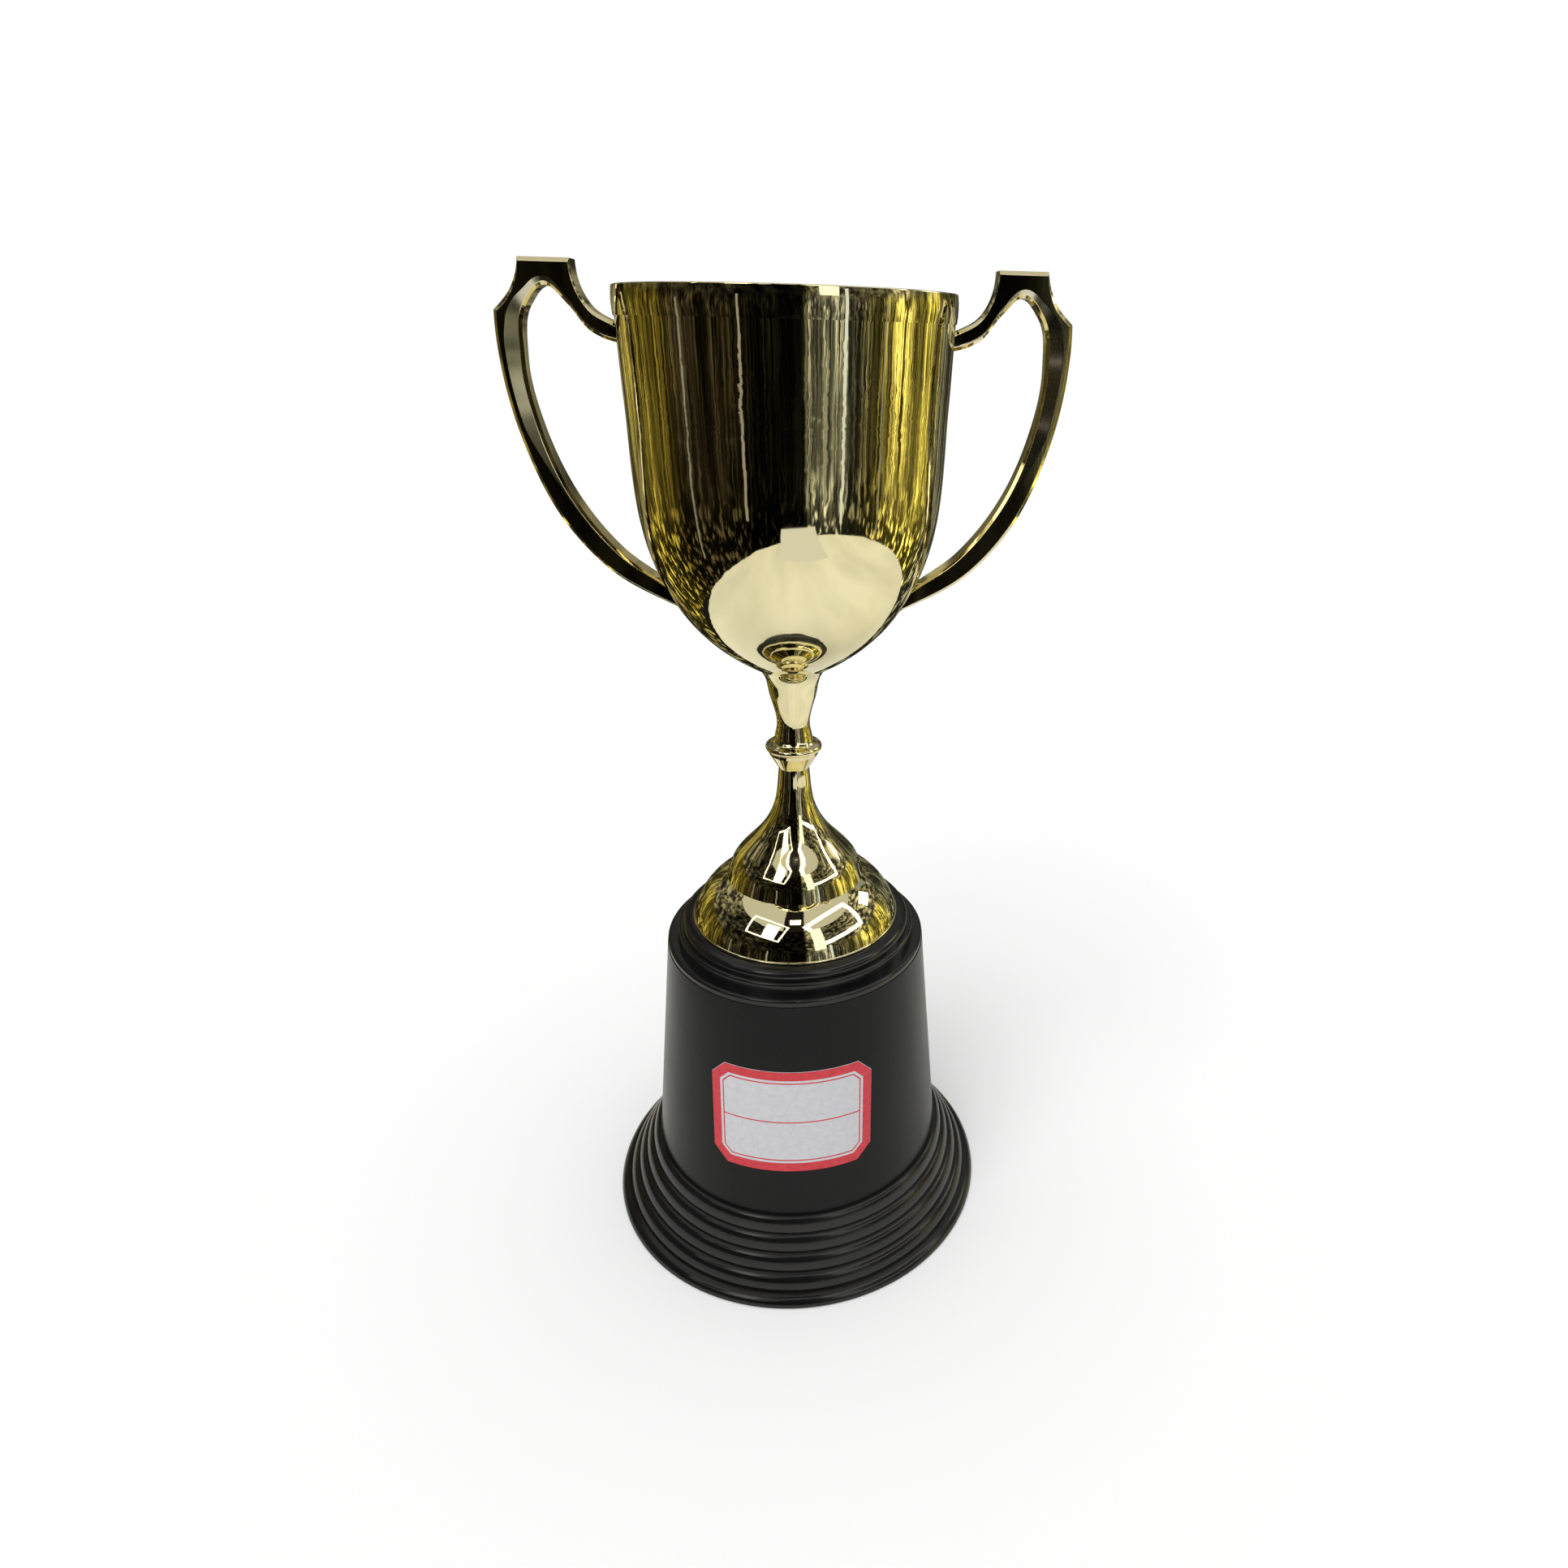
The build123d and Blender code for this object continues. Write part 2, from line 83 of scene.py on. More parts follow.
# ---------------------------------------------------------------- node helpers
class Tree:
    """Builds a material's nodes with short calls."""

    def __init__(self, name):
        self.material = bpy.data.materials.new(name)
        self.material.use_nodes = True
        self.tree = self.material.node_tree
        self.tree.nodes.clear()
        self.out = self.tree.nodes.new("ShaderNodeOutputMaterial")

    def add(self, kind, **settings):
        node = self.tree.nodes.new(kind)
        for key, value in settings.items():
            setattr(node, key, value)
        return node

    def put(self, node, **values):
        """Sets or links a node's inputs, which are named with _ for each space."""
        for key, value in values.items():
            self.feed(node.inputs[key.replace("_", " ")], value)
        return node

    def feed(self, socket, value):
        if isinstance(value, bpy.types.NodeSocket):
            self.tree.links.new(value, socket)
        else:
            socket.default_value = value

    def math(self, operation, *values):
        node = self.add("ShaderNodeMath", operation=operation)
        for socket, value in zip(node.inputs, values):
            self.feed(socket, value)
        return node.outputs[0]

    def coords(self, scale=(1, 1, 1)):
        """The object's own coordinates, in metres, stretched by a scale."""
        source = self.add("ShaderNodeTexCoord")
        mapping = self.add("ShaderNodeMapping")
        self.put(mapping, Scale=scale, Vector=source.outputs["Object"])
        return mapping.outputs[0]

    def noise(self, vector, scale, detail=2.0, roughness=0.5, distortion=0.0):
        node = self.add("ShaderNodeTexNoise")
        self.put(node, Vector=vector, Scale=scale, Detail=detail, Roughness=roughness, Distortion=distortion)
        return node.outputs["Fac"]

    def ramp(self, fac, stops):
        """Colours or grey levels placed along 0 to 1."""
        node = self.add("ShaderNodeValToRGB")
        elements = node.color_ramp.elements
        while len(elements) > 1:
            elements.remove(elements[-1])
        elements[0].position, elements[0].color = stops[0][0], colour(stops[0][1])
        for place, shade in stops[1:]:
            elements.new(place).color = colour(shade)
        self.put(node, Fac=fac)
        return node.outputs["Color"]

    def span(self, value, low, high, to_low=0.0, to_high=1.0):
        """Takes the range low to high smoothly to another, and holds the ends."""
        node = self.add("ShaderNodeMapRange", interpolation_type="SMOOTHSTEP")
        self.put(node, Value=value, From_Min=low, From_Max=high, To_Min=to_low, To_Max=to_high)
        return node.outputs["Result"]

    def bump(self, height, distance, normal=None):
        """Surface relief as deep as the distance, in metres, over another relief if there is one."""
        node = self.add("ShaderNodeBump")
        self.put(node, Height=height, Distance=distance)
        if normal is not None:
            self.put(node, Normal=normal)
        return node.outputs[0]

    def shader(self, **values):
        node = self.add("ShaderNodeBsdfPrincipled")
        self.put(node, **values)
        self.put(self.out, Surface=node.outputs[0])

    def glow(self, shade, strength):
        node = self.add("ShaderNodeEmission")
        self.put(node, Color=shade, Strength=strength)
        self.put(self.out, Surface=node.outputs[0])


def colour(shade):
    """A grey level or a colour, with the opacity that Blender wants."""
    if isinstance(shade, (int, float)):
        return (shade, shade, shade, 1)
    return tuple(shade) + (1,)


# ---------------------------------------------------------------- materials
def gold_material(name, base, ripple=1.0, rough=0.02):
    """Bright plated gold: a tinted mirror, a little uneven, with fine smears and hairlines."""
    t = Tree(name)
    at = t.coords()
    smear = t.noise(at, 38, detail=5, roughness=0.6)
    tint = t.noise(at, 14, detail=2)
    warm = [c * k for c, k in zip(base, (0.94, 0.88, 0.72))]
    shade = t.ramp(tint, [(0.35, base), (0.8, warm)])
    roughness = t.span(smear, 0.35, 0.8, rough, rough + 0.05)
    swell = t.noise(at, 26, detail=1)
    hair = t.noise(t.coords(scale=(900, 900, 40)), 1, detail=3)
    soft = t.bump(swell, 0.00022 * ripple)
    normal = t.bump(hair, 0.000004, normal=soft)
    t.shader(Base_Color=shade, Metallic=1.0, Roughness=roughness, Normal=normal)
    return t.material


def plastic_material(name, shine, satin):
    """Black moulded plastic: a fine grain, faint flow marks and cloudy changes of gloss."""
    t = Tree(name)
    at = t.coords()
    cloud = t.noise(at, 22, detail=4, roughness=0.6)
    dust = t.noise(at, 900, detail=2)
    flow = t.noise(t.coords(scale=(60, 60, 9)), 1, detail=3, distortion=0.4)
    shade = t.ramp(cloud, [(0.3, (0.0042, 0.0042, 0.0046)), (0.75, (0.0080, 0.0080, 0.0088))])
    gloss = t.span(cloud, 0.3, 0.75, satin, satin + 0.08)
    roughness = t.math("ADD", gloss, t.span(flow, 0.4, 0.7, 0.0, 0.04))
    fine = t.bump(dust, 0.000012)
    normal = t.bump(flow, 0.00006, normal=fine)
    t.shader(Base_Color=shade, Roughness=roughness, Normal=normal, Specular_IOR_Level=shine)
    return t.material


def paper_material(name, shade, print_grain=0.0):
    """Coated paper or its printed ink: fibres, a faint cockle and uneven ink."""
    t = Tree(name)
    at = t.coords()
    fibre = t.noise(at, 2600, detail=3, roughness=0.7)
    cockle = t.noise(at, 95, detail=2)
    dark = [c * (0.9 - print_grain) for c in shade]
    mottle = t.noise(at, 700, detail=4)
    tone = t.ramp(mottle, [(0.3, dark), (0.62, shade)])
    normal = t.bump(cockle, 0.00012, normal=t.bump(fibre, 0.000015))
    t.shader(Base_Color=tone, Roughness=t.span(fibre, 0.3, 0.7, 0.42, 0.6), Normal=normal)
    return t.material


def felt_material(name):
    """Needled felt: loose fibres, with matted patches."""
    t = Tree(name)
    at = t.coords()
    fuzz = t.noise(at, 1500, detail=6, roughness=0.75)
    matted = t.noise(at, 120, detail=3)
    shade = t.ramp(fuzz, [(0.3, (0.004, 0.012, 0.008)), (0.7, (0.018, 0.045, 0.030))])
    normal = t.bump(matted, 0.0002, normal=t.bump(fuzz, 0.0002))
    t.shader(Base_Color=shade, Roughness=0.95, Normal=normal, Sheen_Weight=0.4, Sheen_Roughness=0.6)
    return t.material


def board_material(name):
    """Pressed hardboard with its fibres lying one way."""
    t = Tree(name)
    fibre = t.noise(t.coords(scale=(1400, 300, 1400)), 1, detail=4)
    shade = t.ramp(fibre, [(0.3, (0.14, 0.10, 0.06)), (0.7, (0.26, 0.19, 0.12))])
    t.shader(Base_Color=shade, Roughness=0.85, Normal=t.bump(fibre, 0.00005))
    return t.material


def steel_material(name):
    """Zinc-plated steel with a fine spangle."""
    t = Tree(name)
    at = t.coords()
    spangle = t.noise(at, 420, detail=3)
    shade = t.ramp(spangle, [(0.35, (0.42, 0.42, 0.40)), (0.7, (0.66, 0.65, 0.62))])
    t.shader(
        Base_Color=shade, Metallic=1.0, Roughness=t.span(spangle, 0.3, 0.7, 0.22, 0.42),
        Normal=t.bump(spangle, 0.00001),
    )
    return t.material


def iron_material(name):
    """Rough cast iron, sandy and a little rusty."""
    t = Tree(name)
    at = t.coords()
    sand = t.noise(at, 700, detail=5, roughness=0.7)
    rust = t.noise(at, 60, detail=5, roughness=0.65)
    shade = t.ramp(rust, [(0.4, (0.035, 0.033, 0.032)), (0.75, (0.14, 0.055, 0.025))])
    t.shader(Base_Color=shade, Metallic=0.4, Roughness=0.7, Normal=t.bump(sand, 0.0003))
    return t.material


cup_gold = gold_material("cup_gold", (0.93, 0.86, 0.57))
handle_gold = gold_material("handle_gold", (0.90, 0.82, 0.54), ripple=0.7, rough=0.04)
handle_satin = gold_material("handle_satin", (0.90, 0.84, 0.62), ripple=0.5, rough=0.13)
black_plastic = plastic_material("plinth_black", shine=0.18, satin=0.20)
glossy_plastic = plastic_material("plinth_glossy", shine=0.50, satin=0.13)
label_white = paper_material("label_white", (0.56, 0.56, 0.58))
label_red = paper_material("label_red", (0.60, 0.030, 0.045), print_grain=0.12)
felt_black = felt_material("felt_black")
base_card = board_material("base_card")
plated_steel = steel_material("plated_steel")
cast_iron = iron_material("cast_iron")

FINISHES = {
    "bowl": cup_gold,
    "stem": cup_gold,
    "knop": cup_gold,
    "foot": cup_gold,
    "handle_left": handle_gold,
    "handle_right": handle_gold,
    "plinth_cap": glossy_plastic,
    "plinth_drum": black_plastic,
    "plinth_skirt": glossy_plastic,
    "label": label_white,
    "felt_pad": felt_black,
    "base_board": base_card,
    "ballast": cast_iron,
    "handle_washers": plated_steel,
    "handle_nuts": plated_steel,
    "tie_rod": plated_steel,
    "bowl_washer": plated_steel,
    "bowl_nut": plated_steel,
    "clamp_washer": plated_steel,
    "lock_washer": plated_steel,
    "base_nut": plated_steel,
}
for name, finish in FINISHES.items():
    mesh = nodes[name].data
    mesh.materials.clear()
    mesh.materials.append(finish)


# ---------------------------------------------------------------- mesh helpers
def new_piece(name, build, materials, replaced=()):
    """A visible piece, built by a function that fills its mesh."""
    mesh = bpy.data.meshes.new(name)
    bm = bmesh.new()
    build(bm)
    bm.normal_update()
    bm.to_mesh(mesh)
    bm.free()
    for material in materials:
        mesh.materials.append(material)
    piece = bpy.data.objects.new(name, mesh)
    scene.collection.objects.link(piece)
    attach(piece, "root")
    if replaced:
        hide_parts(*replaced)
    return piece


def stitch(bm, loops):
    """Joins each loop of vertices to the next with a band of four-sided faces; returns the faces."""
    faces = []
    for a, b in zip(loops, loops[1:]):
        for k in range(len(a)):
            n = (k + 1) % len(a)
            faces.append(bm.faces.new((a[k], a[n], b[n], b[k])))
    return faces


def apply_modifiers(piece):
    """Bakes a piece's modifiers into its mesh."""
    graph = bpy.context.evaluated_depsgraph_get()
    shaped = bpy.data.meshes.new_from_object(piece.evaluated_get(graph))
    piece.modifiers.clear()
    old = piece.data
    piece.data = shaped
    bpy.data.meshes.remove(old)


def bevel_edges(piece, width, angle):
    """Rounds the edges that are sharper than an angle in degrees, and keeps the faces between them flat."""
    for face in piece.data.polygons:
        face.use_smooth = True
    bevel = piece.modifiers.new("bevel", "BEVEL")
    bevel.width = width
    bevel.segments = 2
    bevel.limit_method = "ANGLE"
    bevel.angle_limit = math.radians(angle)
    bevel.harden_normals = True
    apply_modifiers(piece)


def curve_through(points, start, end, steps=14):
    """Points along a smooth curve through the given ones, with its first and last directions given."""
    points = [Vector(p) for p in points]
    slopes = []
    for i in range(1, len(points) - 1):
        before = (points[i] - points[i - 1]).length
        after = (points[i + 1] - points[i]).length
        one = (points[i] - points[i - 1]) / before
        two = (points[i + 1] - points[i]) / after
        slopes.append((one * after + two * before).normalized())
    slopes = [Vector(start).normalized()] + slopes + [Vector(end).normalized()]
    line = []
    for i in range(len(points) - 1):
        a, b = points[i], points[i + 1]
        span = (b - a).length
        for k in range(steps):
            u = k / steps
            line.append(
                a * (2 * u**3 - 3 * u**2 + 1)
                + slopes[i] * span * (u**3 - 2 * u**2 + u)
                + b * (3 * u**2 - 2 * u**3)
                + slopes[i + 1] * span * (u**3 - u**2)
            )
    line.append(points[-1])
    return line


def along(line, low, high, count):
    """count points evenly spaced along a line, between two shares of its length."""
    reach = [0.0]
    for a, b in zip(line, line[1:]):
        reach.append(reach[-1] + (b - a).length)
    found = []
    at = 0
    for i in range(count):
        want = reach[-1] * (low + (high - low) * i / (count - 1))
        while at < len(line) - 2 and reach[at + 1] < want:
            at += 1
        gap = reach[at + 1] - reach[at]
        found.append(line[at].lerp(line[at + 1], (want - reach[at]) / gap if gap else 0))
    return found


def share_near(line, place):
    """Share of a line's length at which it passes nearest to a place."""
    reach = [0.0]
    for a, b in zip(line, line[1:]):
        reach.append(reach[-1] + (b - a).length)
    best = min(range(len(line)), key=lambda i: (line[i] - Vector(place)).length)
    return reach[best] / reach[-1]


# ---------------------------------------------------------------- handles
LIP_PROUD = 0.35 * MM              # how far the rolled lip swells past the rim
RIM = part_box("bowl")[1].x - LIP_PROUD
RIM_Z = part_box("bowl")[1].z
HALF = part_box("handle_right")[1].y


def off_rim(reach, drop):
    """Point in the handle's plane, outwards and down from the rim in millimetres."""
    return Vector((RIM + reach * MM, RIM_Z - drop * MM))


# where the handle's ends meet the wall of the bowl
UPPER_TOP = off_rim(-0.75, 8.9)
UPPER_UNDER = off_rim(-0.85, 13.4)
LOWER_TOP = off_rim(-10.6, 77.7)
LOWER_UNDER = off_rim(-15.6, 84.4)

OUTER_PARTS = [
    curve_through(
        [UPPER_TOP, off_rim(6.3, 5.0), off_rim(9.0, 0.6), off_rim(10.1, -5.9)], (1, 0.5), (0.02, 1)
    ),
    [off_rim(10.1, -5.9), off_rim(22.9, -5.9)],
    curve_through([off_rim(22.9, -5.9), off_rim(25.2, 0.9), off_rim(30.1, 6.3)], (0.1, -1), (1, -0.9)),
    curve_through(
        [
            off_rim(30.1, 6.3),
            off_rim(30.0, 19.0),
            off_rim(26.1, 39.4),
            off_rim(17.9, 58.6),
            off_rim(6.7, 71.8),
            LOWER_UNDER,
        ],
        (0.1, -1),
        (-1, -0.55),
    ),
]
INNER = curve_through(
    [
        UPPER_UNDER,
        off_rim(6.2, 10.8),
        off_rim(11.6, 4.5),
        off_rim(17.0, 0.4),
        off_rim(21.6, 4.6),
        off_rim(23.9, 17.5),
        off_rim(21.5, 34.5),
        off_rim(14.2, 52.9),
        off_rim(3.2, 67.2),
        LOWER_TOP,
    ],
    (1, 0.15),
    (-1, -0.9),
)
INNER_BREAKS = [0, share_near(INNER, off_rim(12.6, 3.3)), share_near(INNER, off_rim(20.6, 2.7)),
                share_near(INNER, off_rim(22.9, 9.4)), 1]
STATIONS = [16, 12, 12, 56]        # cross-sections in each part
RIM_BEVEL = 1.0 * MM               # along the outer edge
NOSE = 0.9 * MM                    # along the inner edge
EDGE_ROUND = 0.22 * MM
# depth of the leaf-shaped facet beside the opening, at each part's start and end and along the sweep
LEAF = [(0.0, 0.0), (0.0, 0.35), (0.35, 0.7)]
LEAF_SWEEP = [(0.0, 0.7), (0.14, 1.0), (0.56, 0.0), (1.0, 0.0)]


def mixed(stops, at):
    """Value at a place along a row of (place, value) stops, easing from each to the next."""
    for (a, low), (b, high) in zip(stops, stops[1:]):
        if at <= b:
            share = (at - a) / (b - a)
            share = share * share * (3 - 2 * share)
            return low + (high - low) * share
    return stops[-1][1]


def handle_section(outer, inner, leaf):
    """Cross-section of the handle from its outer edge to its inner one: rim bevel, flat, leaf facet, nose."""
    width = (inner - outer).length
    facet = min((0.5 + 3.7 * leaf) * MM, (width - RIM_BEVEL - NOSE) * 0.74)
    sink = (0.12 + 1.3 * leaf) * MM
    front = [
        (0.0, HALF - RIM_BEVEL),
        (RIM_BEVEL, HALF),
        (width - NOSE - facet, HALF),
        (width - NOSE, HALF - sink),
        (width, HALF - sink - NOSE),
    ]
    points = []
    across = (inner - outer).normalized()
    for sign, row in ((-1, front), (1, reversed(front))):
        for u, v in row:
            spot = outer + across * u
            points.append((spot.x, sign * v, spot.y))
    return points


def handle_rings():
    """All the handle's cross-sections, from its upper end to its lower one."""
    rings = []
    for part, count in enumerate(STATIONS):
        outer = along(OUTER_PARTS[part], 0, 1, count)
        inner = along(INNER, INNER_BREAKS[part], INNER_BREAKS[part + 1], count)
        for i in range(count):
            if part and i == 0:
                continue
            at = i / (count - 1)
            if part < len(LEAF):
                low, high = LEAF[part]
                leaf = low + (high - low) * at
            else:
                leaf = mixed(LEAF_SWEEP, at)
            rings.append(handle_section(outer[i], inner[i], leaf))
    return rings


LEAF_FACES = (2, 6)                # the front and back leaf facets, counted round a section


def build_handle(side):
    def build(bm):
        loops = []
        for ring in handle_rings():
            loops.append([bm.verts.new((side * x, y, z)) for x, y, z in ring])
        for i, face in enumerate(stitch(bm, loops)):
            face.material_index = 1 if i % len(loops[0]) in LEAF_FACES else 0
        bm.faces.new(loops[0])
        bm.faces.new(reversed(loops[-1]))
        bmesh.ops.recalc_face_normals(bm, faces=bm.faces[:])
    return build


for side, side_name in ((1, "right"), (-1, "left")):
    handle = new_piece(
        "handle_" + side_name + "_cast", build_handle(side), [handle_gold, handle_satin],
        ["handle_" + side_name],
    )
    bevel_edges(handle, EDGE_ROUND, angle=14)


# studs cast with the handles: each runs from the wall of the bowl through its nut
STUD_RADIUS = 1.5 * MM
STUD_LENGTH = 4.6 * MM
STUD_TIP = 0.5 * MM
STUD_SINK = 0.9 * MM               # from the middle of the washer out to the stud's root
STUD_SIDES = 24


def build_stud(start, inward):
    def build(bm):
        turn = inward.to_track_quat("Z", "X").to_matrix()
        loops = []
        neck = STUD_LENGTH - STUD_TIP
        for depth, radius in ((0.0, STUD_RADIUS), (neck, STUD_RADIUS), (STUD_LENGTH, STUD_RADIUS * 0.7)):
            middle = start + inward * depth
            loops.append([
                bm.verts.new(middle + turn @ Vector((radius * math.cos(a), radius * math.sin(a), 0)))
                for a in (2 * math.pi * i / STUD_SIDES for i in range(STUD_SIDES))
            ])
        stitch(bm, loops)
        bm.faces.new(reversed(loops[0]))
        bm.faces.new(loops[-1])
        bmesh.ops.recalc_face_normals(bm, faces=bm.faces[:])
    return build


def middle_of(name, side, above):
    """Middle of the one of a node's four fixings that is on a side and at a level, each 1 or -1."""
    places = [v.co.copy() for v in nodes[name].data.vertices]
    found = [p for p in places if p.x * side > 0 and (p.z - SPLIT) * above > 0]
    return sum(found, Vector()) / len(found)


NUT_HEIGHTS = [v.co.z for v in nodes["handle_nuts"].data.vertices]
SPLIT = sum(NUT_HEIGHTS) / len(NUT_HEIGHTS)      # height between the upper and the lower nuts
for side, side_name in ((1, "right"), (-1, "left")):
    for above, level in ((1, "upper"), (-1, "lower")):
        washer = middle_of("handle_washers", side, above)
        inward = (middle_of("handle_nuts", side, above) - washer).normalized()
        stud = build_stud(washer - inward * STUD_SINK, inward)
        new_piece("stud_" + level + "_" + side_name, stud, [handle_gold])


# ---------------------------------------------------------------- label
SPIGOT = 5.0 * MM                  # the skirt's spigot, which the drum stands round
DRUM_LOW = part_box("plinth_skirt")[1].z - SPIGOT
DRUM_FOOT_RADIUS = 48.7 * MM
DRUM_TOP_RADIUS = 41.9 * MM
DRUM_HEIGHT = 75.0 * MM
LABEL_LOW, LABEL_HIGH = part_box("label")[0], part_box("label")[1]
LABEL_CENTRE = (LABEL_LOW.z + LABEL_HIGH.z) / 2
LABEL_HALF_HEIGHT = (LABEL_HIGH.z - LABEL_LOW.z) / 2
LABEL_HALF_WIDTH = 26.0 * MM
LABEL_CORNER = 4.8 * MM
SIDE_STEPS = [48, 6, 20, 6]        # points along a long side, a corner, a short side and a corner
SHEET_COLUMNS = 64
GLUE = 0.05 * MM
PAPER_TOP = 0.265 * MM             # the paper's face and the ink's, above the drum's wall
INK_LOW = PAPER_TOP - 0.004 * MM
INK_TOP = 0.296 * MM


def drum_radius(z):
    return DRUM_FOOT_RADIUS + (DRUM_TOP_RADIUS - DRUM_FOOT_RADIUS) * (z - DRUM_LOW) / DRUM_HEIGHT


def on_drum(u, v, proud):
    """Point on the front of the drum: u along its curve, v up from the label's centre, proud of its wall."""
    z = LABEL_CENTRE + v
    middle = drum_radius(LABEL_CENTRE)
    x = middle * math.sin(u / middle)
    r = drum_radius(z) + proud
    return (x, -math.sqrt(r * r - x * x), z)


def octagon(inset):
    """Outline of the label, set in from its edge, with many points on each side so that it bends smoothly."""
    w, h = LABEL_HALF_WIDTH - inset, LABEL_HALF_HEIGHT - inset
    c = LABEL_CORNER - inset * (2 - math.sqrt(2))
    lower = [(-w + c, -h), (w - c, -h), (w, -h + c), (w, h - c)]
    corners = lower + [(-u, -v) for u, v in lower]
    line = []
    for (u0, v0), (u1, v1), count in zip(corners, corners[1:] + corners[:1], SIDE_STEPS * 2):
        for k in range(count):
            line.append((u0 + (u1 - u0) * k / count, v0 + (v1 - v0) * k / count))
    return line


def band_solid(outlines, low, high):
    """Closed strip through a row of outlines on the drum, from the outermost to the innermost."""
    def build(bm):
        loops = []
        for outline, proud in [(o, high) for o in outlines] + [(o, low) for o in reversed(outlines)]:
            loops.append([bm.verts.new(on_drum(u, v, proud)) for u, v in outline])
        stitch(bm, loops + loops[:1])
        bmesh.ops.recalc_face_normals(bm, faces=bm.faces[:])
    return build


def sheet_solid(rows, low, high):
    """Closed sheet on the drum from rows of (height, half width)."""
    def row_of(bm, v, w, proud):
        return [
            bm.verts.new(on_drum(-w + 2 * w * k / SHEET_COLUMNS, v, proud)) for k in range(SHEET_COLUMNS + 1)
        ]

    def build(bm):
        layers = [[row_of(bm, v, w, proud) for v, w in rows] for proud in (low, high)]
        for layer in layers:
            for a, b in zip(layer, layer[1:]):
                for k in range(SHEET_COLUMNS):
                    bm.faces.new((a[k], a[k + 1], b[k + 1], b[k]))
        under, over = layers
        for i in range(len(rows) - 1):
            for k in (0, SHEET_COLUMNS):
                bm.faces.new((under[i][k], under[i + 1][k], over[i + 1][k], over[i][k]))
        for i in (0, len(rows) - 1):
            for k in range(SHEET_COLUMNS):
                bm.faces.new((under[i][k], under[i][k + 1], over[i][k + 1], over[i][k]))
        bmesh.ops.recalc_face_normals(bm, faces=bm.faces[:])
    return build


SHEET_ROWS = 24
CORNER_HEIGHT = LABEL_HALF_HEIGHT - LABEL_CORNER     # where the label's corners start to be cut off
label_rows = [(CORNER_HEIGHT, LABEL_HALF_WIDTH), (-CORNER_HEIGHT, LABEL_HALF_WIDTH)]
for step in range(SHEET_ROWS + 1):
    v = -LABEL_HALF_HEIGHT + 2 * LABEL_HALF_HEIGHT * step / SHEET_ROWS
    label_rows.append((v, LABEL_HALF_WIDTH - max(0.0, abs(v) - CORNER_HEIGHT)))
label_rows = sorted(set(label_rows))
new_piece("label_sheet", sheet_solid(label_rows, GLUE, PAPER_TOP), [label_white], ["label"])

# printed lines: outlines set in from the label's edge, in millimetres, and a rule across its middle
for ink_name, insets in (("label_border", (0.02, 0.6, 1.2, 1.8, 2.4, 3.0)), ("label_line", (3.85, 4.25))):
    outlines = [octagon(inset * MM) for inset in insets]
    new_piece(ink_name, band_solid(outlines, INK_LOW, INK_TOP), [label_red])
rule_half = LABEL_HALF_WIDTH - 4.2 * MM
rule_rows = [(-0.19 * MM, rule_half), (0.19 * MM, rule_half)]
new_piece("label_rule", sheet_solid(rule_rows, INK_LOW, INK_TOP), [label_red])


# ---------------------------------------------------------------- stage
ROUND = 96                         # sides of the discs and of the room
FLOOR_RADIUS = 30.0
TABLE_RADIUS = 0.385
TABLE_CENTRE = (0.13, -0.14)
ROOM_RADIUS = 1.6
ROOM_LOW, ROOM_HIGH = -1.3, 1.9
REFLECTED = ("glossy",)            # what only reflections see


def stage_mesh(name, build, material, seen=REFLECTED):
    mesh = bpy.data.meshes.new(name)
    bm = bmesh.new()
    build(bm)
    bm.to_mesh(mesh)
    bm.free()
    mesh.materials.append(material)
    obj = bpy.data.objects.new(name, mesh)
    scene.collection.objects.link(obj)
    for kind in ("camera", "diffuse", "glossy", "transmission", "volume_scatter", "shadow"):
        setattr(obj, "visible_" + kind, kind in seen)
    return obj


def plain_material(name, shade):
    """An even, dull surface for the stage."""
    t = Tree(name)
    t.shader(Base_Color=colour(shade), Roughness=0.9, Specular_IOR_Level=0.0)
    return t.material


def circle(bm, radius, centre, z):
    ring = []
    for i in range(ROUND):
        a = 2 * math.pi * i / ROUND
        ring.append(bm.verts.new((centre[0] + radius * math.cos(a), centre[1] + radius * math.sin(a), z)))
    return ring


def disc(radius, z, centre=(0, 0)):
    def build(bm):
        bm.faces.new(circle(bm, radius, centre, z))
    return build


def room_wall(bm):
    """The wall of a round room, facing inwards."""
    low, high = (circle(bm, ROOM_RADIUS, (0, 0), z) for z in (ROOM_LOW, ROOM_HIGH))
    for i in range(ROUND):
        n = (i + 1) % ROUND
        bm.faces.new((low[n], low[i], high[i], high[n]))


def flat_sheet(corners, z):
    def build(bm):
        bm.faces.new([bm.verts.new((x, y, z)) for x, y in corners])
    return build


